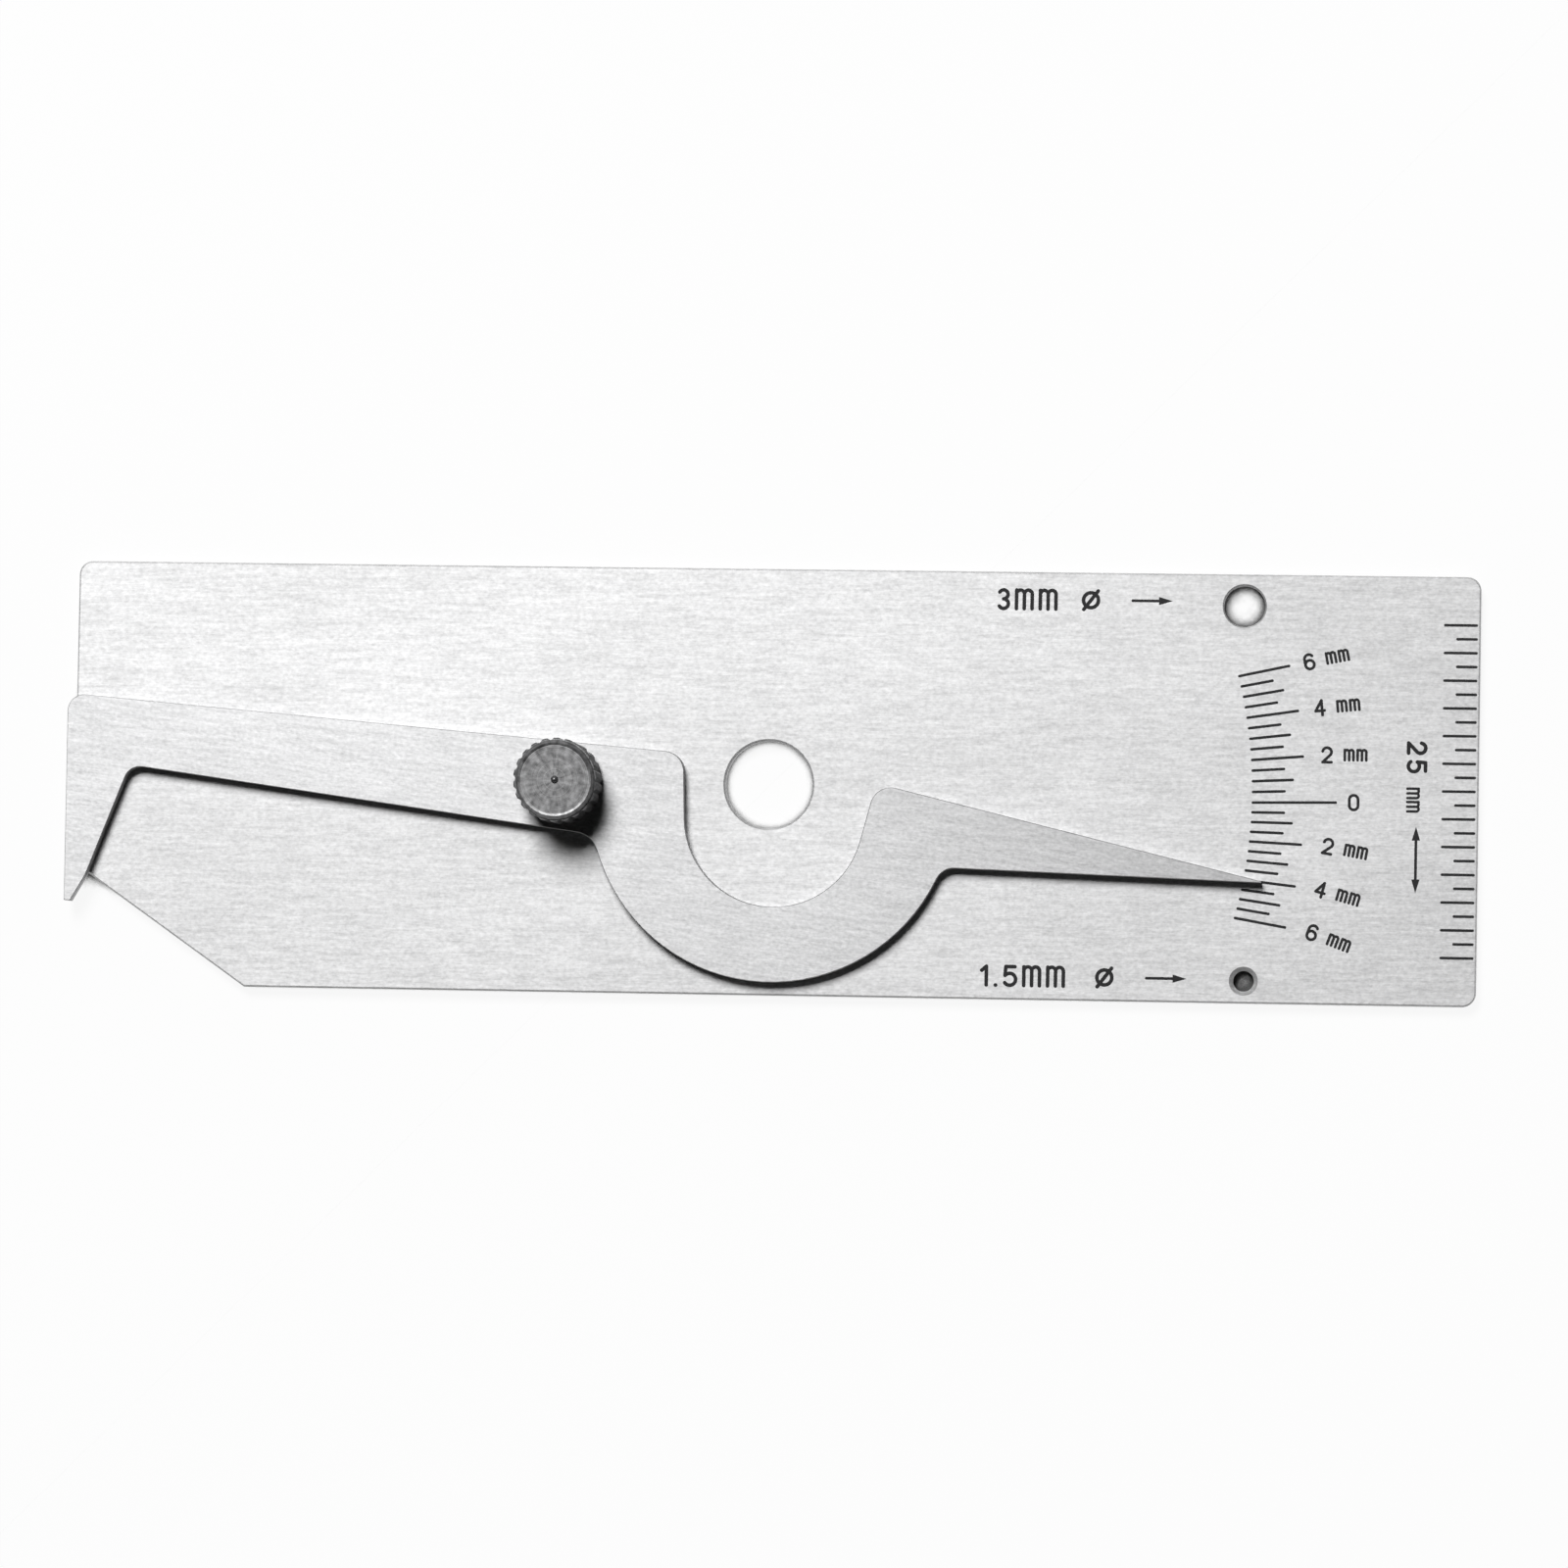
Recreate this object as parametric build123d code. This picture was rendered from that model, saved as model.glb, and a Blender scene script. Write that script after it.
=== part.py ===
"""Pocket weld gauge: a flat base plate with a dial and an edge rule, and a pointer arm on a thumb screw.

Millimetres. The gauge lies on its back: +Z comes out of the marked face, +X points to the ruled edge and +Y
to the upper long edge. The origin is the centre of the hanging hole on the back face.
"""
import os
from math import atan2, cos, degrees, radians, sin, sqrt, tan

from build123d import *

# Base plate
plate_length = 102.3
plate_width = 31.0
plate_thickness = 1.27
plate_corner_radius = 1.0
cut_corner_run = 12.8
cut_corner_rise = 8.9
plate_edge_break = 0.12

# Hanging hole, which is the origin, and the two comparison holes
hanging_hole_diameter = 6.35
hanging_hole_from_left = 51.0
hanging_hole_from_lower = 15.3
hanging_hole_chamfer = 0.15
large_hole_diameter = 3.0
large_hole_from_upper = 2.3
large_hole_from_right = 17.0
large_hole_chamfer = 0.1
small_hole_diameter = 1.5
small_hole_from_lower = 1.6
small_hole_from_right = 16.7
small_hole_chamfer = 0.3

# Pivot
pivot_from_hanging_hole = 15.0
pivot_below_hanging_hole = 0.1
spigot_diameter = 4.6
spigot_setback = 0.1
bush_flange_rim = 0.6
bush_flange_thickness = 0.45
bush_chamfer = 0.15

# Pointer arm, in its own frame: pivot at the origin, probe towards -X, all at the zero reading
arm_thickness = 1.1
arm_edge_break = 0.05
bar_above_pivot = 3.0
bar_below_pivot = 3.42
bar_upper_slope = 1.7
bar_lower_slope = -1.2
heel_beyond_plate = 0.9
probe_tip_inside_plate = 1.05
probe_tip_above_lower_edge = 2.05
probe_root_inside_plate = 4.35
probe_tip_width = 0.45
probe_ground_length = 2.0
probe_ground_start_width = 1.55
bowl_radius = 13.28
bowl_beyond_hole = 0.36
bowl_above_hole = 0.64
notch_radius = 6.5
notch_beyond_hole = 0.65
notch_below_hole = 0.65
notch_flare = 8.2
needle_over_dial = 1.2
needle_angle = -0.8
needle_tip_width = 0.12
needle_upper_slope = -7.0
needle_lower_slope = 4.6
heel_fillet = 1.2
leg_fillet = 1.5
probe_root_fillet = 1.2
bowl_left_fillet = 1.8
bowl_right_fillet = 1.4

# Thumb screw and its washer
head_diameter = 6.1
head_height = 4.2
head_chamfer = 0.22
land_diameter = 5.75
land_height = 0.4
knurl_teeth = 22
knurl_depth = 0.2
knurl_crest_share = 0.4
knurl_chamfer = 0.12
knurl_turn = 7.4
pip_diameter = 0.55
pip_height = 0.22
thread_diameter = 3.0
neck_diameter = 2.5
screw_end_recess = 0.15
screw_end_chamfer = 0.3
washer_diameter = 5.4
washer_thickness = 0.4
washer_chamfer = 0.08

# Clearances
face_gap = 0.03
running_clearance = 0.03
neck_clearance = 0.08

# Engraved marks
engraving_depth = 0.12
filling_below_face = 0.02
tick_width = 0.2
rule_intervals = 24
rule_pitch = 1.0
rule_end_from_edge = 0.2
rule_long_tick = 2.45
rule_short_tick = 1.55
dial_from_ruled_end = 16.3
dial_steps_each_way = 12
dial_steps_per_numeral = 4
mm_per_numeral = 2
dial_arc_radius = 34.0
dial_step_angle_raised = 0.807
dial_step_angle_deep = 0.88
dial_fan_beyond_pivot = 4.5
dial_tilt = 0.8
zero_tick = 6.15
even_tick = 3.85
odd_tick = 3.05
half_tick = 2.45
rest_steps = -8

# Lettering: heights and stroke widths of plain numerals and signs, and their places
numeral_height = 1.26
numeral_stroke = 0.21
numeral_gaps = {3: 1.4, 2: 1.5, 1: 1.65, 0: 1.2, -1: 1.85, -2: 1.8, -3: 1.9}
numeral_row_turn = -6.4
numeral_row_fan = 1.43
unit_gap = 2.05
unit_height = 0.94
unit_stroke = 0.2
label_height = 1.62
label_stroke = 0.27
label_spacing = 0.32
large_hole_label_raise = 0.3
large_hole_label_reaches = (18.0, 11.8, 8.2)
small_hole_label_raise = 0.1
small_hole_label_reaches = (19.1, 10.7, 7.1)
arrow_length = 3.0
arrow_stroke = 0.2
arrow_head_length = 1.0
arrow_head_width = 0.6
rule_label_reach = 5.2
rule_label_start = 3.8
rule_number_height = 1.5
rule_unit_height = 1.0
rule_unit_stroke = 0.19
rule_unit_gap = 1.0
rule_arrow_length = 4.8

FROM_BASE = (Align.CENTER, Align.CENTER, Align.MIN)

# Places that follow from the sizes above
plate_left = -hanging_hole_from_left
plate_right = plate_length - hanging_hole_from_left
plate_lower = -hanging_hole_from_lower
plate_upper = plate_width - hanging_hole_from_lower
large_hole_x = plate_right - large_hole_from_right
small_hole_x = plate_right - small_hole_from_right
large_hole_y = plate_upper - large_hole_from_upper
small_hole_y = plate_lower + small_hole_from_lower
pivot_x = -pivot_from_hanging_hole
pivot_y = -pivot_below_hanging_hole
pivot_to_left = hanging_hole_from_left - pivot_from_hanging_hole
pivot_to_lower = hanging_hole_from_lower - pivot_below_hanging_hole
bush_flange_diameter = spigot_diameter + 2 * bush_flange_rim
arm_underside = plate_thickness + face_gap
arm_top = arm_underside + arm_thickness
washer_underside = arm_top + face_gap
head_underside = washer_underside + washer_thickness + face_gap
knurl_height = head_height - land_height
cut_reach = plate_thickness + arm_thickness

# The arm reaches from the plate's left end to the dial, round the hanging hole
probe_reach = pivot_to_left - probe_tip_inside_plate
probe_drop = pivot_to_lower - probe_tip_above_lower_edge
heel_reach = pivot_to_left + heel_beyond_plate
probe_root_reach = pivot_to_left - probe_root_inside_plate
notch = (pivot_from_hanging_hole + notch_beyond_hole, pivot_below_hanging_hole - notch_below_hole)
bowl = (pivot_from_hanging_hole + bowl_beyond_hole, pivot_below_hanging_hole + bowl_above_hole)
dial_radius = plate_right - dial_from_ruled_end - pivot_x
needle_length = dial_radius + needle_over_dial


def needle_direction(steps):
    """Needle angle above +X at so many steps of the dial from zero, deep ones positive."""
    return needle_angle + steps * (dial_step_angle_deep if steps > 0 else dial_step_angle_raised)


def at_angle(origin, angle, distance):
    """Point at a distance from another, in a direction given in degrees."""
    return (origin[0] + distance * cos(radians(angle)), origin[1] + distance * sin(radians(angle)))


def meet(first, first_angle, second, second_angle):
    """Point where two lines cross, each given by a point and a direction."""
    ax, ay = cos(radians(first_angle)), sin(radians(first_angle))
    bx, by = cos(radians(second_angle)), sin(radians(second_angle))
    dx, dy = second[0] - first[0], second[1] - first[1]
    along = (dx * by - dy * bx) / (ax * by - ay * bx)
    return (first[0] + along * ax, first[1] + along * ay)


def meet_circle(point, angle, centre, radius, side):
    """Point where a line cuts a circle, on its far side (+1) or its near side (-1) along the direction."""
    ux, uy = cos(radians(angle)), sin(radians(angle))
    dx, dy = point[0] - centre[0], point[1] - centre[1]
    half = ux * dx + uy * dy
    along = -half + side * sqrt(half * half - dx * dx - dy * dy + radius * radius)
    return (point[0] + along * ux, point[1] + along * uy)


def round_corner(face, corner, radius):
    """Rounds the corner of a flat outline that lies nearest to a point."""
    nearest = face.vertices().sort_by_distance((corner[0], corner[1], 0))[0]
    return fillet(nearest, radius)


def drill(diameter, bottom, top):
    """Round cutter between two heights."""
    return Pos(0, 0, bottom) * Cylinder(diameter / 2, top - bottom, align=FROM_BASE)


def countersink(diameter, depth, face_height, outward):
    """45 degree cutter for the mouth of a hole, at a face that looks up (+1) or down (-1)."""
    wide, narrow = diameter / 2 + depth, diameter / 2
    lower, upper = (narrow, wide) if outward > 0 else (wide, narrow)
    cone = Cone(lower, upper, depth, align=FROM_BASE)
    return Pos(0, 0, face_height - depth if outward > 0 else face_height) * cone


# Strokes of the plain numerals and signs. Each is drawn on a centre line in a box one unit high.
def line(ax, ay, bx, by):
    return Line((ax, ay), (bx, by))


def bow(x, y, radius, start, sweep):
    return CenterArc((x, y), radius, start, sweep)


def glyph_strokes(sign):
    """Centre lines of one sign, and its width."""
    if sign == "0":
        return [bow(0.3, 0.7, 0.3, 0, 180), line(0, 0.7, 0, 0.3), bow(0.3, 0.3, 0.3, 180, 180),
                line(0.6, 0.3, 0.6, 0.7)], 0.6
    if sign == "1":
        return [line(0.05, 0.78, 0.3, 1), line(0.3, 1, 0.3, 0)], 0.35
    if sign == "2":
        return [bow(0.3, 0.7, 0.3, -35, 205), line(0.546, 0.528, 0, 0), line(0, 0, 0.6, 0)], 0.6
    if sign == "3":
        return [bow(0.3, 0.76, 0.24, -90, 240), bow(0.3, 0.26, 0.26, -150, 240)], 0.56
    if sign == "4":
        return [line(0.45, 1, 0, 0.3), line(0, 0.3, 0.62, 0.3), line(0.45, 1, 0.45, 0)], 0.62
    if sign == "5":
        return [line(0.56, 1, 0.07, 1), line(0.07, 1, 0.03, 0.52), bow(0.28, 0.32, 0.32, -145, 286)], 0.6
    if sign == "6":
        return [bow(0.3, 0.3, 0.3, 0, 180), bow(0.3, 0.3, 0.3, 180, 180), line(0, 0.3, 0, 0.7),
                bow(0.3, 0.7, 0.3, 35, 145)], 0.6
    if sign == "m":
        return [line(0, 0, 0, 1), bow(0.21, 0.79, 0.21, 0, 180), line(0.42, 0.79, 0.42, 0),
                bow(0.63, 0.79, 0.21, 0, 180), line(0.84, 0.79, 0.84, 0)], 0.84
    if sign == "Ø":
        return [bow(0.4, 0.5, 0.4, 0, 180), bow(0.4, 0.5, 0.4, 180, 180), line(0.02, 0, 0.78, 1)], 0.8
    return [line(0, 0, 0.02, 0)], 0.05


def write(text, height, stroke, spacing):
    """Flat outline of a row of signs, with its lower left corner at the origin, and the row's length."""
    scale = height - stroke
    pieces = []
    cursor = stroke / 2
    for sign in text:
        strokes, width = glyph_strokes(sign)
        for centre_line in strokes:
            placed = Pos(cursor, stroke / 2) * centre_line.scale(scale)
            pieces.append(SlotArc(placed, stroke))
        cursor += width * scale + stroke + spacing
    return Sketch() + pieces, cursor - spacing - stroke / 2


def arrow(length, both_ends):
    """Flat arrow from the origin along +X, with a solid head at its end or at both ends."""
    tip = Polygon((length, 0), (length - arrow_head_length, arrow_head_width / 2),
                  (length - arrow_head_length, -arrow_head_width / 2), align=None)
    start = arrow_head_length / 2 if both_ends else arrow_stroke / 2
    pieces = [SlotArc(Line((start, 0), (length - arrow_head_length / 2, 0)), arrow_stroke), tip]
    if both_ends:
        pieces.append(Pos(length, 0) * Rot(0, 0, 180) * tip)
    return Sketch() + pieces


def edge_scale_sketch():
    """Rule along the right edge, with long and short lines in turn."""
    end = plate_right - rule_end_from_edge - tick_width / 2
    ticks = []
    for index in range(rule_intervals + 1):
        y = (plate_upper + plate_lower) / 2 + (rule_intervals / 2 - index) * rule_pitch
        length = rule_short_tick if index % 2 else rule_long_tick
        ticks.append(SlotArc(Line((end - length + tick_width, y), (end, y)), tick_width))
    return Sketch() + ticks


def dial_line(steps):
    """Inner end, direction and length of the dial's line so many steps from zero, deep ones positive."""
    pivot = (pivot_x, pivot_y)
    zero = at_angle(pivot, needle_angle, dial_radius)
    arc_centre = at_angle(zero, needle_angle, -dial_arc_radius)
    inner = meet_circle(pivot, needle_direction(steps), arc_centre, dial_arc_radius, 1)
    fan_centre = at_angle(zero, dial_tilt, dial_fan_beyond_pivot - dial_radius)
    direction = degrees(atan2(inner[1] - fan_centre[1], inner[0] - fan_centre[0]))
    if steps == 0:
        return inner, direction, zero_tick
    if steps % dial_steps_per_numeral == 0:
        return inner, direction, even_tick
    return inner, direction, half_tick if steps % 2 else odd_tick


def dial_scale_sketch():
    """The dial's fan of lines."""
    ticks = []
    for steps in range(-dial_steps_each_way, dial_steps_each_way + 1):
        inner, direction, length = dial_line(steps)
        start = at_angle(inner, direction, tick_width / 2)
        end = at_angle(inner, direction, length - tick_width / 2)
        ticks.append(SlotArc(Line(start, end), tick_width))
    return Sketch() + ticks


def centred_text(text, height, stroke, spacing, centre, direction):
    """Row of signs centred on a point and turned to a direction."""
    sketch, length = write(text, height, stroke, spacing)
    return Pos(*centre) * Rot(0, 0, direction) * Pos(-length / 2, -height / 2) * sketch


def dial_numerals_sketch():
    """Numbers at the longer lines, each with its unit except at zero."""
    rows = []
    for steps in range(-dial_steps_each_way, dial_steps_each_way + 1, dial_steps_per_numeral):
        inner, direction, length = dial_line(steps)
        numerals_from_zero = steps // dial_steps_per_numeral
        numeral = at_angle(inner, direction, length + numeral_gaps[numerals_from_zero])
        digit = str(mm_per_numeral * abs(numerals_from_zero))
        row = numeral_row_turn + numeral_row_fan * direction if steps else dial_tilt
        rows.append(centred_text(digit, numeral_height, numeral_stroke, 0, numeral, row))
        if steps:
            unit = at_angle(numeral, row, unit_gap)
            rows.append(centred_text("mm", unit_height, unit_stroke, unit_stroke / 2, unit, row))
    return Sketch() + rows


def hole_label(text, x, y, reaches):
    """Size of a comparison hole, a diameter sign and an arrow, each so far to the left of the hole."""
    text_reach, sign_reach, arrow_reach = reaches
    size, _ = write(text, label_height, label_stroke, label_spacing)
    sign, _ = write("Ø", label_height, label_stroke, label_spacing)
    low = y - label_height / 2
    return [Pos(x - text_reach, low) * size, Pos(x - sign_reach, low) * sign,
            Pos(x - arrow_reach, y) * arrow(arrow_length, False)]


def hole_marks_sketch():
    """Labels of the two comparison holes."""
    large_y = large_hole_y + large_hole_label_raise
    small_y = small_hole_y + small_hole_label_raise
    large = hole_label("3mm", large_hole_x, large_y, large_hole_label_reaches)
    small = hole_label("1.5mm", small_hole_x, small_y, small_hole_label_reaches)
    return Sketch() + large + small


def rule_label_sketch():
    """Length of the edge rule, read downwards, with a double arrow for its span."""
    number, number_length = write("25", rule_number_height, label_stroke, label_spacing)
    unit, unit_length = write("mm", rule_unit_height, rule_unit_stroke, rule_unit_stroke / 2)
    unit_start = number_length + rule_unit_gap
    arrow_start = unit_start + unit_length + rule_unit_gap
    row = Sketch() + [number, Pos(unit_start, 0) * unit,
                      Pos(arrow_start, rule_number_height / 2) * arrow(rule_arrow_length, True)]
    return Pos(plate_right - rule_label_reach, rule_label_start) * Rot(0, 0, -90) * row


MARKS = {
    "edge_scale_marks": edge_scale_sketch,
    "dial_scale_marks": dial_scale_sketch,
    "dial_numerals": dial_numerals_sketch,
    "hole_size_marks": hole_marks_sketch,
    "edge_scale_label": rule_label_sketch,
}


def engraved(sketch, height):
    """Solid that stands on the floor of the engraving."""
    return Pos(0, 0, plate_thickness - engraving_depth) * extrude(sketch, height)


def make_plate(mark_sketches):
    """Stainless sheet with its cut corner, holes, bush seat and engraving."""
    outline = make_face(Polyline(
        (plate_left, plate_lower + cut_corner_rise), (plate_left + cut_corner_run, plate_lower),
        (plate_right, plate_lower), (plate_right, plate_upper), (plate_left, plate_upper), close=True))
    for corner in ((plate_right, plate_lower), (plate_right, plate_upper), (plate_left, plate_upper)):
        outline = round_corner(outline, corner, plate_corner_radius)
    plate = extrude(outline, plate_thickness)
    rims = plate.edges().group_by(Axis.Z)
    plate = chamfer(rims[0] + rims[-1], plate_edge_break)
    holes = (
        (0, 0, hanging_hole_diameter, hanging_hole_chamfer),
        (large_hole_x, large_hole_y, large_hole_diameter, large_hole_chamfer),
        (small_hole_x, small_hole_y, small_hole_diameter, small_hole_chamfer),
    )
    cutters = []
    for x, y, diameter, depth in holes:
        cutters.append(Pos(x, y) * drill(diameter, -cut_reach, cut_reach))
        cutters.append(Pos(x, y) * countersink(diameter, depth, plate_thickness, 1))
    cutters.append(Pos(pivot_x, pivot_y) * drill(spigot_diameter, -cut_reach, cut_reach))
    cutters.append(Pos(pivot_x, pivot_y) * drill(bush_flange_diameter, -cut_reach, bush_flange_thickness))
    for sketch in mark_sketches:
        cutters.append(engraved(sketch, 2 * engraving_depth))
    return plate - cutters


def make_bush():
    """Tapped bush: flange flush with the back, spigot up through the plate and the arm."""
    top = arm_top - spigot_setback
    bush = drill(bush_flange_diameter, 0, bush_flange_thickness) + drill(spigot_diameter, 0, top)
    bush = chamfer(bush.edges().group_by(Axis.Z)[-1], bush_chamfer)
    bore = thread_diameter + 2 * running_clearance
    bush -= [drill(bore, -cut_reach, cut_reach + top), countersink(bore, bush_chamfer, 0, -1),
             countersink(bore, bush_chamfer, top, 1)]
    return Pos(pivot_x, pivot_y) * bush


def arm_outline():
    """Outline of the arm about its pivot at the zero reading."""
    tip_left = (-probe_reach - probe_tip_width / 2, -probe_drop)
    tip_right = (-probe_reach + probe_tip_width / 2, -probe_drop)
    upper_line = ((0, bar_above_pivot), bar_upper_slope)
    lower_line = ((0, -bar_below_pivot), bar_lower_slope)
    heel = (-heel_reach, bar_above_pivot - heel_reach * tan(radians(bar_upper_slope)))
    probe_root = meet((-probe_root_reach, 0), 90, *lower_line)
    outer_side = degrees(atan2(heel[1] - tip_left[1], heel[0] - tip_left[0]))
    ground_outer = at_angle(tip_left, outer_side, probe_ground_length)
    ground_inner = (ground_outer[0] + probe_ground_start_width, ground_outer[1])
    notch_left = at_angle(notch, 180 + notch_flare, notch_radius)
    notch_right = at_angle(notch, -notch_flare, notch_radius)
    needle = at_angle((0, 0), needle_angle, needle_length)
    needle_upper = (needle[0], needle[1] + needle_tip_width / 2)
    needle_lower = (needle[0], needle[1] - needle_tip_width / 2)
    left_leg = meet(notch_left, 90 + notch_flare, *upper_line)
    right_leg = meet(notch_right, 90 - notch_flare, needle_upper, needle_upper_slope)
    bowl_right = meet_circle(needle_lower, needle_lower_slope, bowl, bowl_radius, 1)
    bowl_left = meet_circle(*lower_line, bowl, bowl_radius, -1)
    edges = [
        Line(tip_left, heel),
        Line(heel, left_leg),
        Line(left_leg, notch_left),
        ThreePointArc(notch_left, at_angle(notch, -90, notch_radius), notch_right),
        Line(notch_right, right_leg),
        Line(right_leg, needle_upper),
        Line(needle_upper, needle_lower),
        Line(needle_lower, bowl_right),
        ThreePointArc(bowl_right, at_angle(bowl, -90, bowl_radius), bowl_left),
        Line(bowl_left, probe_root),
        Line(probe_root, ground_inner),
        Line(ground_inner, tip_right),
        Line(tip_right, tip_left),
    ]
    face = make_face(edges)
    corners = (
        (heel, heel_fillet), (left_leg, leg_fillet), (right_leg, leg_fillet),
        (bowl_right, bowl_right_fillet), (bowl_left, bowl_left_fillet), (probe_root, probe_root_fillet),
    )
    for corner, radius in corners:
        face = round_corner(face, corner, radius)
    return face


def make_arm():
    """Flat pointer arm, turned to the reading at which it rests."""
    arm = extrude(arm_outline(), arm_thickness)
    arm = chamfer(arm.edges().group_by(Axis.Z)[-1], arm_edge_break)
    bore = spigot_diameter + 2 * running_clearance
    arm -= [drill(bore, -cut_reach, cut_reach), countersink(bore, arm_edge_break, arm_thickness, 1)]
    turn = needle_direction(rest_steps) - needle_angle
    return Pos(pivot_x, pivot_y, arm_underside) * Rot(0, 0, turn) * arm


def make_washer():
    """Flat washer that the thread keeps on the screw's neck."""
    washer = drill(washer_diameter, 0, washer_thickness)
    washer = chamfer(washer.edges(), washer_chamfer)
    washer -= drill(neck_diameter + 2 * neck_clearance, -washer_thickness, 2 * washer_thickness)
    return Pos(pivot_x, pivot_y, washer_underside) * washer


def knurl_outline():
    """Closed outline of the head's straight teeth, with flat crests and V grooves."""
    crest = head_diameter / 2
    root = crest - knurl_depth
    pitch = 360 / knurl_teeth
    points = []
    for tooth in range(knurl_teeth):
        middle = knurl_turn + tooth * pitch
        points.append(at_angle((0, 0), middle - pitch * knurl_crest_share / 2, crest))
        points.append(at_angle((0, 0), middle + pitch * knurl_crest_share / 2, crest))
        points.append(at_angle((0, 0), middle + pitch / 2, root))
    return make_face(Polyline(*points, close=True))


def make_screw():
    """Thumb screw: knurled head with a smooth land, neck for the washer, shank as a plain cylinder."""
    blank = chamfer(drill(head_diameter, 0, knurl_height).edges(), knurl_chamfer)
    land = drill(land_diameter, knurl_height / 2, head_height)
    land = chamfer(land.edges().group_by(Axis.Z)[-1], head_chamfer)
    pip = Pos(0, 0, head_height) * Cone(pip_diameter / 2, pip_diameter / 4, pip_height, align=FROM_BASE)
    head = (extrude(knurl_outline(), knurl_height) & blank) + land + pip
    neck_end = washer_underside - head_underside
    shank_end = screw_end_recess - head_underside
    shank = drill(thread_diameter, shank_end, neck_end)
    shank = chamfer(shank.edges().group_by(Axis.Z)[0], screw_end_chamfer)
    screw = head + drill(neck_diameter, neck_end, 0) + shank
    return Pos(pivot_x, pivot_y, head_underside) * screw


os.makedirs("parts", exist_ok=True)
sketches = {node: draw() for node, draw in MARKS.items()}
export_step(make_plate(sketches.values()), "parts/base_plate.step")
export_step(make_bush(), "parts/pivot_bush.step")
export_step(make_arm(), "parts/pointer_arm.step")
export_step(make_washer(), "parts/friction_washer.step")
export_step(make_screw(), "parts/thumb_screw.step")
for node, sketch in sketches.items():
    export_step(engraved(sketch, engraving_depth - filling_below_face), f"parts/{node}.step")
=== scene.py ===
"""Looks of the pocket weld gauge: ground stainless sheet, knurled thumb screw, black filled marks."""
from math import cos, pi, radians, sin, tau

import bmesh
import bpy
from mathutils import Matrix, Vector


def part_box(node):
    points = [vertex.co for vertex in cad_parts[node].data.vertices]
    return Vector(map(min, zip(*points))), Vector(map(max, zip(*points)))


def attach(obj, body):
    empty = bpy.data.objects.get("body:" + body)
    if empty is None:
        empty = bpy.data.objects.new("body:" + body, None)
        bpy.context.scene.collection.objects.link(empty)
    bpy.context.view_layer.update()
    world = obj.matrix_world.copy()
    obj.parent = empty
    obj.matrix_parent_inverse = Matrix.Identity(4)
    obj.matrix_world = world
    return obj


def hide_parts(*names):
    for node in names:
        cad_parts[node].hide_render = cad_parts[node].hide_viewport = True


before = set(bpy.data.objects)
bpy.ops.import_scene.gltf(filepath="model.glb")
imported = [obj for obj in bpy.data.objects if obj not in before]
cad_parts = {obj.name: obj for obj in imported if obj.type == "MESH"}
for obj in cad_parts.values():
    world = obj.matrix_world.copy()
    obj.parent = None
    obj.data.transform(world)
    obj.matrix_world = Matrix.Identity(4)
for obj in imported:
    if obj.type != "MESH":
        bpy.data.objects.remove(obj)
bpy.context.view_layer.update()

MM = 0.001
screw_low, screw_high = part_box("thumb_screw")
washer_low, washer_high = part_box("friction_washer")
bush_low, bush_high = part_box("pivot_bush")
PIVOT = Vector(((bush_low[0] + bush_high[0]) / 2, (bush_low[1] + bush_high[1]) / 2, 0.0))


# Nodes that the materials share
def new_material(name):
    material = bpy.data.materials.new(name)
    material.use_nodes = True
    nodes = material.node_tree.nodes
    nodes.clear()
    output = nodes.new("ShaderNodeOutputMaterial")
    shader = nodes.new("ShaderNodeBsdfPrincipled")
    material.node_tree.links.new(shader.outputs["BSDF"], output.inputs["Surface"])
    return material, shader


def add_node(material, kind, inputs=None, **settings):
    """A node with its settings, and its inputs given as numbers or as other nodes' outputs."""
    node = material.node_tree.nodes.new(kind)
    for key, value in settings.items():
        setattr(node, key, value)
    for key, value in (inputs or {}).items():
        if isinstance(value, bpy.types.NodeSocket):
            material.node_tree.links.new(value, node.inputs[key])
        else:
            node.inputs[key].default_value = value
    return node


def combine(material, operation, first, second):
    return add_node(material, "ShaderNodeMath", {0: first, 1: second}, operation=operation).outputs[0]


def spread(material, value, low, high, out_low, out_high):
    node = add_node(material, "ShaderNodeMapRange", {"Value": value, "From Min": low, "From Max": high,
                                                     "To Min": out_low, "To Max": out_high})
    return node.outputs["Result"]


def stretched_noise(material, along, across, turn=0.0, detail=3.0, roughness=0.6):
    """Noise in so many features a metre, drawn out along the grinding direction."""
    place = add_node(material, "ShaderNodeTexCoord")
    turned = add_node(material, "ShaderNodeMapping", {"Vector": place.outputs["Object"]})
    turned.inputs["Rotation"].default_value = (0, 0, -turn)
    drawn = add_node(material, "ShaderNodeMapping", {"Vector": turned.outputs["Vector"]})
    drawn.inputs["Scale"].default_value = (along, across, across)
    noise = add_node(material, "ShaderNodeTexNoise", {"Vector": drawn.outputs["Vector"], "Scale": 1.0,
                                                      "Detail": detail, "Roughness": roughness})
    return noise.outputs["Fac"]


def shade(material, tone, factor):
    """Colour socket: a tone made lighter or darker by a factor."""
    node = add_node(material, "ShaderNodeVectorMath", {1: (0.0, 0.0, 0.0)}, operation="SCALE")
    node.inputs[0].default_value = tone
    material.node_tree.links.new(factor, node.inputs["Scale"])
    return node.outputs["Vector"]


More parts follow.
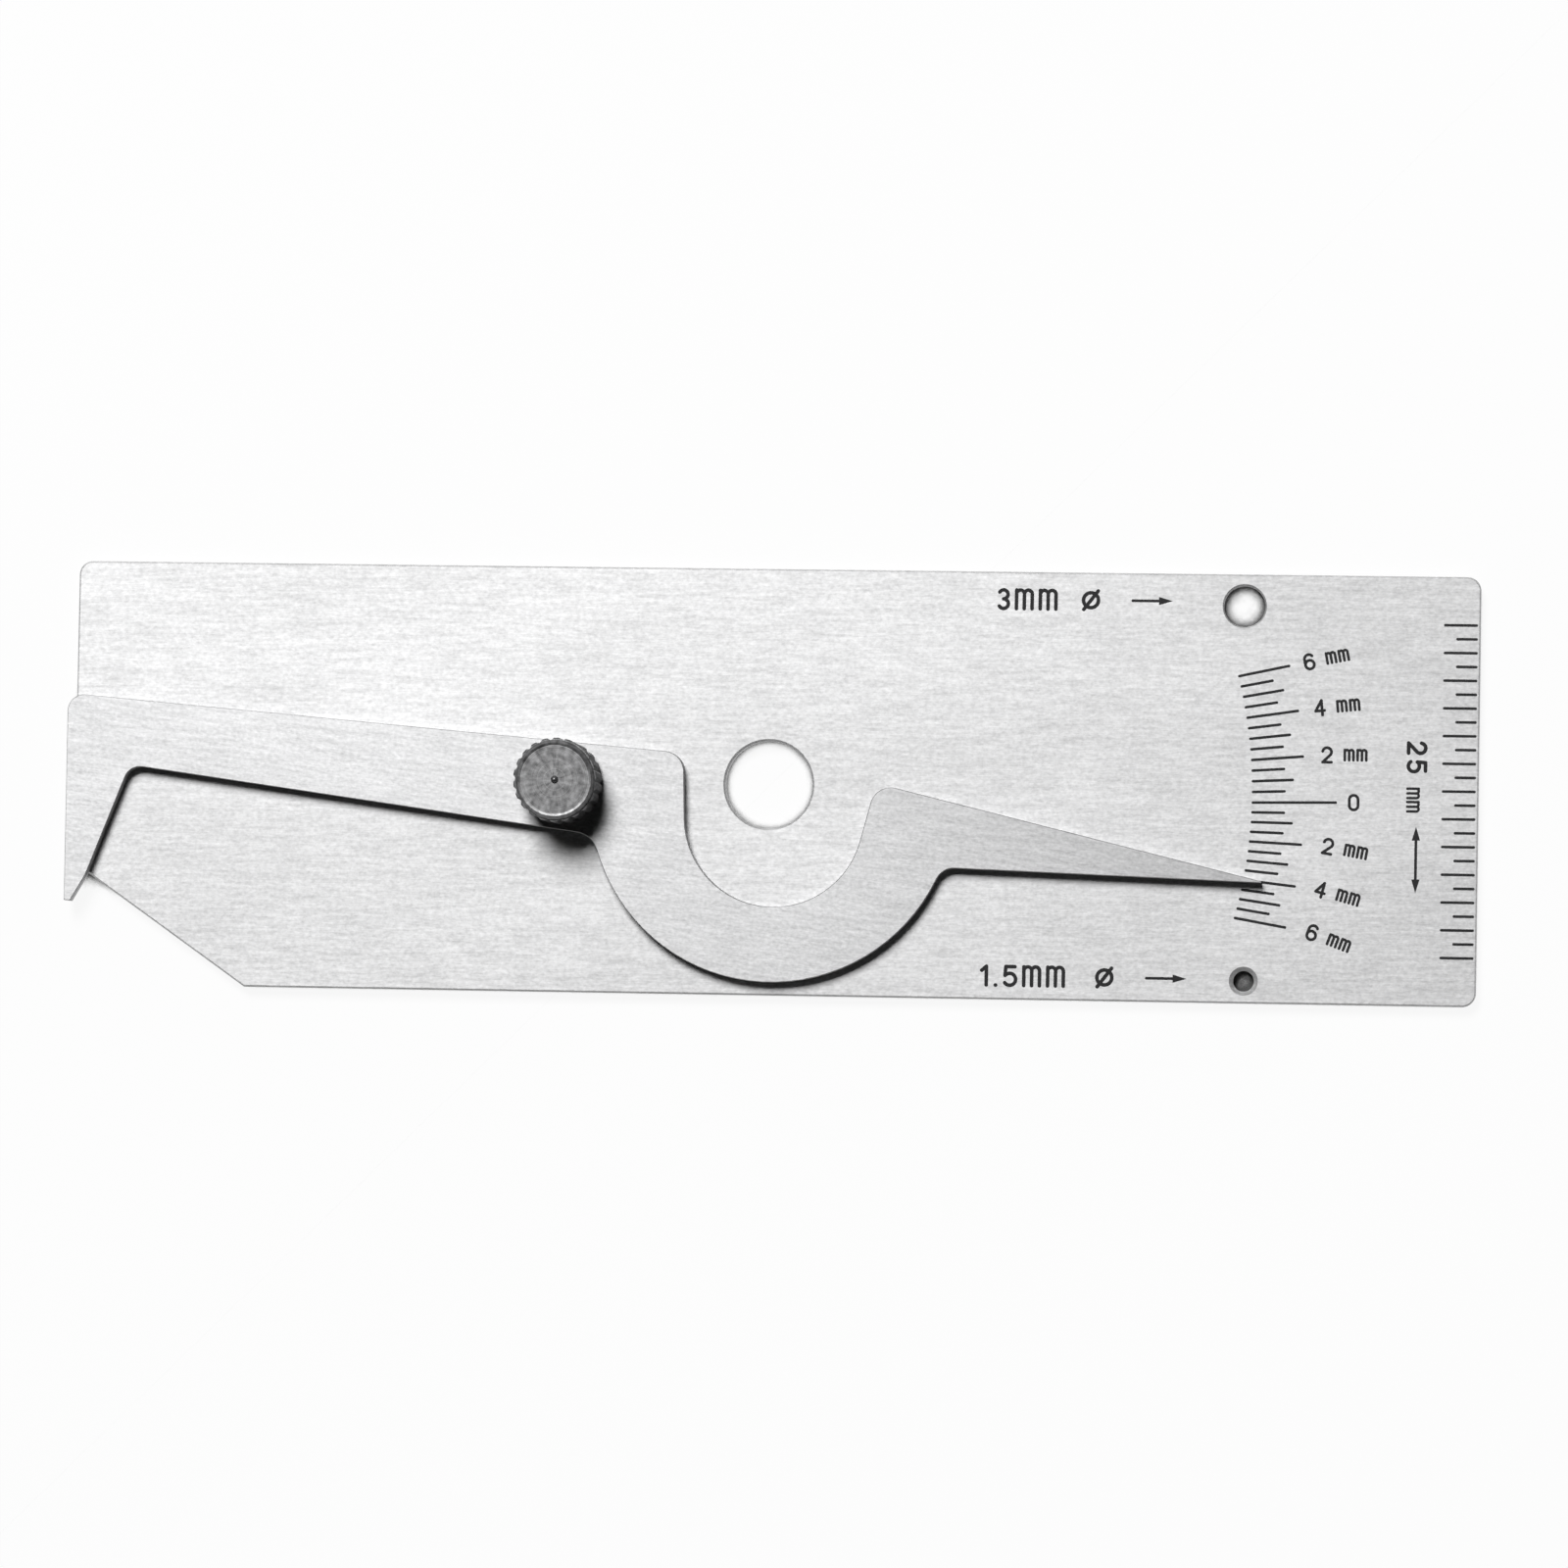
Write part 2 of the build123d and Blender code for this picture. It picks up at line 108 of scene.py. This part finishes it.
def connect(material, shader, colour, gloss, height, bump_strength, bump_distance):
    links = material.node_tree.links
    links.new(colour, shader.inputs["Base Color"])
    links.new(gloss, shader.inputs["Roughness"])
    bump = add_node(material, "ShaderNodeBump", {"Strength": bump_strength, "Distance": bump_distance,
                                                 "Height": height})
    links.new(bump.outputs["Normal"], shader.inputs["Normal"])


# Ground sheet: features a metre along and across the grind, noise detail and roughness
FINE_STREAKS = (1700, 9500, 3.0, 0.7)
MIDDLE_STREAKS = (380, 3600, 4.0, 0.65)
SANDY_SPOTS = (3200, 4200, 2.0, 0.6)
CLOUDS = (35, 90, 4.0, 0.55)
SHEET_METALLIC = 0.68  # the ground face scatters the rest in all directions


def ground_sheet(name, tone, turn, roughness, anisotropy, streakiness):
    """Stainless sheet ground along one direction: short fine streaks in tone, gloss and height."""
    material, shader = new_material(name)
    fine, middle, sandy, cloudy = [stretched_noise(material, along, across, turn, detail, noise_roughness)
                                   for along, across, detail, noise_roughness
                                   in (FINE_STREAKS, MIDDLE_STREAKS, SANDY_SPOTS, CLOUDS)]
    streaks = combine(material, "ADD", combine(material, "ADD", fine, middle), sandy)
    lined = spread(material, streaks, 1.05, 1.95, 1.0 - streakiness, 1.0 + streakiness)
    clouded = spread(material, cloudy, 0.25, 0.75, 0.955, 1.045)
    colour = shade(material, tone, combine(material, "MULTIPLY", lined, clouded))
    gloss = combine(material, "ADD", spread(material, fine, 0.3, 0.7, -0.05, 0.05),
                    spread(material, cloudy, 0.3, 0.7, roughness + 0.01, roughness - 0.01))
    connect(material, shader, colour, gloss, streaks, 0.12, 0.00002)
    shader.inputs["Metallic"].default_value = SHEET_METALLIC
    shader.inputs["Anisotropic"].default_value = anisotropy
    across_grind = add_node(material, "ShaderNodeTangent", direction_type="RADIAL", axis="X")
    material.node_tree.links.new(across_grind.outputs["Tangent"], shader.inputs["Tangent"])
    return material


# Turned steel: features a metre outward, and scales of the noises
RING_SPACING = 900.0
SPOKE_SPACING = 260.0
SPOKE_SCALE = 5.0
RING_SCALE = 12.0
TURNED_GRAINS = 2600.0


def turned_steel(name, tone, roughness):
    """Dull turned steel: faint rings about the pivot, with mottling drawn out from the centre."""
    material, shader = new_material(name)
    place = add_node(material, "ShaderNodeTexCoord")
    centred = add_node(material, "ShaderNodeVectorMath", {0: place.outputs["Object"]}, operation="SUBTRACT")
    centred.inputs[1].default_value = PIVOT
    parts = add_node(material, "ShaderNodeSeparateXYZ", {"Vector": centred.outputs["Vector"]})
    flat = add_node(material, "ShaderNodeCombineXYZ", {"X": parts.outputs["X"], "Y": parts.outputs["Y"]})
    radius = add_node(material, "ShaderNodeVectorMath", {0: flat.outputs["Vector"]}, operation="LENGTH")
    around = add_node(material, "ShaderNodeVectorMath", {0: flat.outputs["Vector"]}, operation="NORMALIZE")
    outward = add_node(material, "ShaderNodeCombineXYZ", {"Z": radius.outputs["Value"]})
    long_way = add_node(material, "ShaderNodeVectorMath", {0: outward.outputs["Vector"]}, operation="SCALE")
    long_way.inputs["Scale"].default_value = RING_SPACING
    short_way = add_node(material, "ShaderNodeVectorMath", {0: outward.outputs["Vector"]}, operation="SCALE")
    short_way.inputs["Scale"].default_value = SPOKE_SPACING
    spoke = add_node(material, "ShaderNodeVectorMath",
                     {0: around.outputs["Vector"], 1: short_way.outputs["Vector"]}, operation="ADD")
    spokes = add_node(material, "ShaderNodeTexNoise",
                      {"Vector": spoke.outputs["Vector"], "Scale": SPOKE_SCALE,
                       "Detail": 4.0, "Roughness": 0.6})
    rings = add_node(material, "ShaderNodeTexNoise",
                     {"Vector": long_way.outputs["Vector"], "Scale": RING_SCALE, "Detail": 2.0})
    grain = add_node(material, "ShaderNodeTexNoise",
                     {"Vector": centred.outputs["Vector"], "Scale": TURNED_GRAINS, "Detail": 4.0})
    height = combine(material, "ADD", combine(material, "ADD", spokes.outputs["Fac"], grain.outputs["Fac"]),
                     rings.outputs["Fac"])
    colour = shade(material, tone, spread(material, height, 1.2, 1.8, 0.5, 1.5))
    gloss = spread(material, spokes.outputs["Fac"], 0.3, 0.7, roughness - 0.05, roughness + 0.05)
    connect(material, shader, colour, gloss, height, 0.15, 0.00002)
    shader.inputs["Metallic"].default_value = 1.0
    return material


FILLING_TONE = (0.017, 0.017, 0.018)
FILLING_GRAINS = 9000.0


def mark_filling(name):
    """Matt black filling of the engraving, slightly grainy and not quite even."""
    material, shader = new_material(name)
    place = add_node(material, "ShaderNodeTexCoord")
    grain = add_node(material, "ShaderNodeTexNoise",
                     {"Vector": place.outputs["Object"], "Scale": FILLING_GRAINS, "Detail": 3.0})
    colour = shade(material, FILLING_TONE, spread(material, grain.outputs["Fac"], 0.3, 0.7, 0.5, 1.7))
    gloss = spread(material, grain.outputs["Fac"], 0.3, 0.7, 0.55, 0.75)
    connect(material, shader, colour, gloss, grain.outputs["Fac"], 0.3, 0.00001)
    shader.inputs["Specular IOR Level"].default_value = 0.3
    return material


def dress(node, material):
    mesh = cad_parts[node].data
    mesh.materials.clear()
    mesh.materials.append(material)


PLATE_TONE = (0.64, 0.64, 0.643)
ARM_TONE = (0.405, 0.405, 0.408)
ARM_TURN = radians(-6.4)
TURNED_TONE = (0.21, 0.21, 0.212)

plate_material = ground_sheet("ground_plate", PLATE_TONE, 0.0, 0.545, 0.38, 0.25)
arm_material = ground_sheet("ground_arm", ARM_TONE, ARM_TURN, 0.44, 0.76, 0.28)
turned_material = turned_steel("turned_steel", TURNED_TONE, 0.44)
mark_material = mark_filling("mark_filling")

dress("base_plate", plate_material)
dress("pointer_arm", arm_material)
dress("pivot_bush", turned_material)
dress("friction_washer", turned_material)
dress("thumb_screw", turned_material)
for mark in ("edge_scale_marks", "dial_scale_marks", "dial_numerals", "hole_size_marks", "edge_scale_label"):
    dress(mark, mark_material)


# Thumb screw with rounded teeth, a dished top and a real thread
HEAD_RADIUS = 3.05 * MM
KNURL_CHAMFER = 0.12 * MM
KNURL_TURN = radians(7.4)
LAND_RADIUS = 2.875 * MM
LAND_HEIGHT = 0.4 * MM
HEAD_CHAMFER = 0.22 * MM
DISH_WIDTH = 0.16 * MM
DISH_DEPTH = 0.05 * MM
PIP_RADIUS = 0.27 * MM
PIP_HEIGHT = 0.22 * MM
TEETH = 22
TOOTH_SAMPLES = 16
TOOTH_DEPTH = 0.2 * MM
CREST_SHARE = 0.4
THREAD_RADIUS = 1.5 * MM
THREAD_PITCH = 0.5 * MM
THREAD_DEPTH = 0.3 * MM
THREAD_RINGS_A_TURN = 10
NECK_RADIUS = 1.25 * MM
END_CHAMFER = 0.3 * MM
FACE_GAP = 0.03 * MM
ROUNDING = 0.02 * MM
CHAMFER_STEPS = 6
PIP_STEPS = 6
SHARP_FROM = radians(35)


def soft_min(first, second, blend):
    """Smaller of two lengths, rounded off where they are nearly equal."""
    closeness = max(blend - abs(first - second), 0.0) / blend
    return min(first, second) - closeness * closeness * blend / 4


def tooth_radius(angle):
    """Radius of the knurl at an angle: flat crests with V grooves between them."""
    phase = ((angle - KNURL_TURN) / tau * TEETH) % 1.0
    from_crest = min(phase, 1.0 - phase)
    groove = max(from_crest - CREST_SHARE / 2, 0.0) / (0.5 - CREST_SHARE / 2)
    return HEAD_RADIUS - TOOTH_DEPTH * groove


def thread_radius(angle, height):
    """Radius of the screw thread at an angle and a height: V ridges that climb one pitch a turn."""
    phase = (height / THREAD_PITCH - angle / tau) % 1.0
    return THREAD_RADIUS - THREAD_DEPTH * abs(2 * phase - 1)


def make_screw():
    """Screw as rings of points from its lower end to the pip, each with a radius for every angle."""
    segments = TEETH * TOOTH_SAMPLES
    bottom, top = screw_low[2], screw_high[2]
    head_bottom = washer_high[2] + FACE_GAP
    neck_bottom = washer_low[2]
    rings = []

    thread_rings = int((neck_bottom - bottom) / THREAD_PITCH * THREAD_RINGS_A_TURN)
    for step in range(thread_rings + 1):
        height = bottom + (neck_bottom - bottom) * step / thread_rings
        from_end = min(height - bottom, neck_bottom - height)
        limit = THREAD_RADIUS - END_CHAMFER + from_end
        rings.append((height, lambda angle, height=height, limit=limit:
                      soft_min(limit, thread_radius(angle, height), ROUNDING)))
    for height in (neck_bottom, head_bottom):
        rings.append((height, lambda angle: NECK_RADIUS))

    knurl_top = top - PIP_HEIGHT - LAND_HEIGHT
    land_top = top - PIP_HEIGHT
    lower = [(head_bottom + KNURL_CHAMFER * step / CHAMFER_STEPS, KNURL_CHAMFER * (1 - step / CHAMFER_STEPS))
             for step in range(CHAMFER_STEPS + 1)]
    upper = [(knurl_top + head_bottom - height, inset) for height, inset in reversed(lower)]
    for height, inset in lower + upper:
        rings.append((height, lambda angle, inset=inset:
                      soft_min(HEAD_RADIUS - inset, tooth_radius(angle), ROUNDING)))
    face_edge = LAND_RADIUS - HEAD_CHAMFER
    dish_edge = face_edge - DISH_WIDTH
    dish = land_top - DISH_DEPTH
    pip_rise = top - dish
    outline = [(LAND_RADIUS, knurl_top), (LAND_RADIUS, land_top - HEAD_CHAMFER), (face_edge, land_top)]
    outline += [(face_edge - ROUNDING, land_top), (dish_edge, dish), (dish_edge - ROUNDING, dish)]
    outline += [(PIP_RADIUS + ROUNDING, dish), (PIP_RADIUS, dish)]
    pip_angles = [pi / 2 * step / PIP_STEPS for step in range(1, PIP_STEPS)]
    outline += [(PIP_RADIUS * cos(angle), dish + pip_rise * sin(angle)) for angle in pip_angles]
    for radius, height in outline:
        rings.append((height, lambda angle, radius=radius: radius))

    shape = bmesh.new()
    first = shape.verts.new(PIVOT + Vector((0, 0, bottom)))
    previous = None
    for height, radius_at in rings:
        row = []
        for index in range(segments):
            angle = tau * index / segments
            radius = radius_at(angle)
            row.append(shape.verts.new(PIVOT + Vector((radius * cos(angle), radius * sin(angle), height))))
        for index in range(segments):
            after = (index + 1) % segments
            if previous:
                shape.faces.new((previous[index], previous[after], row[after], row[index]))
            else:
                shape.faces.new((first, row[after], row[index]))
        previous = row
    last = shape.verts.new(PIVOT + Vector((0, 0, top)))
    for index in range(segments):
        shape.faces.new((previous[index], previous[(index + 1) % segments], last))
    bmesh.ops.recalc_face_normals(shape, faces=shape.faces)

    mesh = bpy.data.meshes.new("screw_with_thread")
    shape.to_mesh(mesh)
    shape.free()
    mesh.materials.append(turned_material)
    mesh.shade_smooth()
    mesh.set_sharp_from_angle(angle=SHARP_FROM)
    piece = bpy.data.objects.new("screw_with_thread", mesh)
    bpy.context.collection.objects.link(piece)
    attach(piece, "screw")
    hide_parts("thumb_screw")


make_screw()


# Floor, light and camera
FLOOR_SIZE = 6.0
FLOOR_BELOW = 0.02 * MM
FLOOR_TONE = (0.97, 0.97, 0.97, 1)
FLOOR_GLOW_SHARE = 0.92
HOLE_REACH = 10 * MM
NO_GLOW_BELOW = 0.42
FULL_GLOW_FROM = 0.48

# World: strengths at the horizon, and the heights between which it fades, as the sine of the elevation
WORLD_TOWARD = 0.55
WORLD_AWAY = 0.35
WORLD_FADE = (0.06, 0.36)

KEY_PLACE = (-0.16, 0.42, 0.74)
KEY_SIZE = (0.30, 0.35)
KEY_POWER = 7.0

# Camera, as found from the photograph
PICTURE_WIDTH_PX = 1600.0
FOCAL_LENGTH_PX = 7025.0
SENSOR_WIDTH = 36.0
CAMERA_PLACE = Vector((42.907, -21.607, 498.924)) * MM
CAMERA_TURN = Vector((-0.044083, -0.083394, -0.016152))


def make_floor():
    """White floor that keeps a faint shadow; its glow fades where ambient occlusion is low, a painted shade
    at the bottom of narrow holes.
    """
    bpy.ops.mesh.primitive_plane_add(size=FLOOR_SIZE, location=(0, 0, -FLOOR_BELOW))
    floor = bpy.context.object
    floor.name = "floor"
    material, shader = new_material("floor")
    shader.inputs["Base Color"].default_value = FLOOR_TONE
    shader.inputs["Roughness"].default_value = 0.8
    # Painted shade: the floor's glow is dimmed by ambient occlusion, so narrow holes look dark
    openness = add_node(material, "ShaderNodeAmbientOcclusion", samples=16)
    openness.inputs["Distance"].default_value = HOLE_REACH
    glow_with_painted_hole_shade = spread(material, openness.outputs["AO"], NO_GLOW_BELOW, FULL_GLOW_FROM, 0.0, 1.0)
    glow = add_node(material, "ShaderNodeEmission", {"Strength": glow_with_painted_hole_shade})
    glow.inputs["Color"].default_value = (1, 1, 1, 1)
    path = add_node(material, "ShaderNodeLightPath")
    seen = combine(material, "MAXIMUM", path.outputs["Is Camera Ray"], path.outputs["Is Glossy Ray"])
    seen = combine(material, "MAXIMUM", seen, path.outputs["Is Transmission Ray"])
    share = combine(material, "MULTIPLY", seen, FLOOR_GLOW_SHARE)
    mix = add_node(material, "ShaderNodeMixShader", {"Fac": share, 1: shader.outputs["BSDF"],
                                                     2: glow.outputs["Emission"]})
    tree = material.node_tree
    output = next(node for node in tree.nodes if node.type == "OUTPUT_MATERIAL")
    tree.links.new(mix.outputs["Shader"], output.inputs["Surface"])
    floor.data.materials.append(material)


def make_world():
    """Dark ceiling over a pale horizon that is brighter on one side of the room."""
    world = bpy.data.worlds.new("world")
    bpy.context.scene.world = world
    world.use_nodes = True
    world.node_tree.nodes.clear()
    place = add_node(world, "ShaderNodeTexCoord")
    parts = add_node(world, "ShaderNodeSeparateXYZ", {"Vector": place.outputs["Generated"]})
    low_down = spread(world, parts.outputs["Z"], *WORLD_FADE, 1.0, 0.0)
    side = add_node(world, "ShaderNodeVectorMath", {0: place.outputs["Generated"], 1: (0.71, -0.71, 0.0)},
                    operation="DOT_PRODUCT")
    level = spread(world, side.outputs["Value"], -1.0, 1.0, WORLD_AWAY, WORLD_TOWARD)
    strength = combine(world, "MULTIPLY", low_down, level)
    soft = add_node(world, "ShaderNodeBackground", {"Color": (1, 1, 1, 1), "Strength": strength})
    output = world.node_tree.nodes.new("ShaderNodeOutputWorld")
    world.node_tree.links.new(soft.outputs["Background"], output.inputs["Surface"])


def area_light(name, place, target, size, power):
    data = bpy.data.lights.new(name, "AREA")
    data.shape = "RECTANGLE"
    data.size, data.size_y = size
    data.energy = power
    lamp = bpy.data.objects.new(name, data)
    bpy.context.collection.objects.link(lamp)
    lamp.location = place
    lamp.rotation_euler = (Vector(target) - Vector(place)).to_track_quat("-Z", "Y").to_euler()


def make_camera():
    data = bpy.data.cameras.new("camera")
    data.sensor_width = SENSOR_WIDTH
    data.sensor_height = SENSOR_WIDTH
    data.sensor_fit = "HORIZONTAL"
    data.lens = FOCAL_LENGTH_PX * SENSOR_WIDTH / PICTURE_WIDTH_PX
    data.clip_start = 0.05
    data.clip_end = 20
    camera = bpy.data.objects.new("camera", data)
    bpy.context.collection.objects.link(camera)
    looking = Matrix.Rotation(CAMERA_TURN.length, 3, CAMERA_TURN.normalized()).transposed().to_4x4()
    camera.matrix_world = Matrix.Translation(CAMERA_PLACE) @ looking
    bpy.context.scene.camera = camera


make_floor()
make_world()
area_light("key", KEY_PLACE, (0, 0, 0), KEY_SIZE, KEY_POWER)
make_camera()

bpy.context.scene.view_settings.view_transform = "Standard"
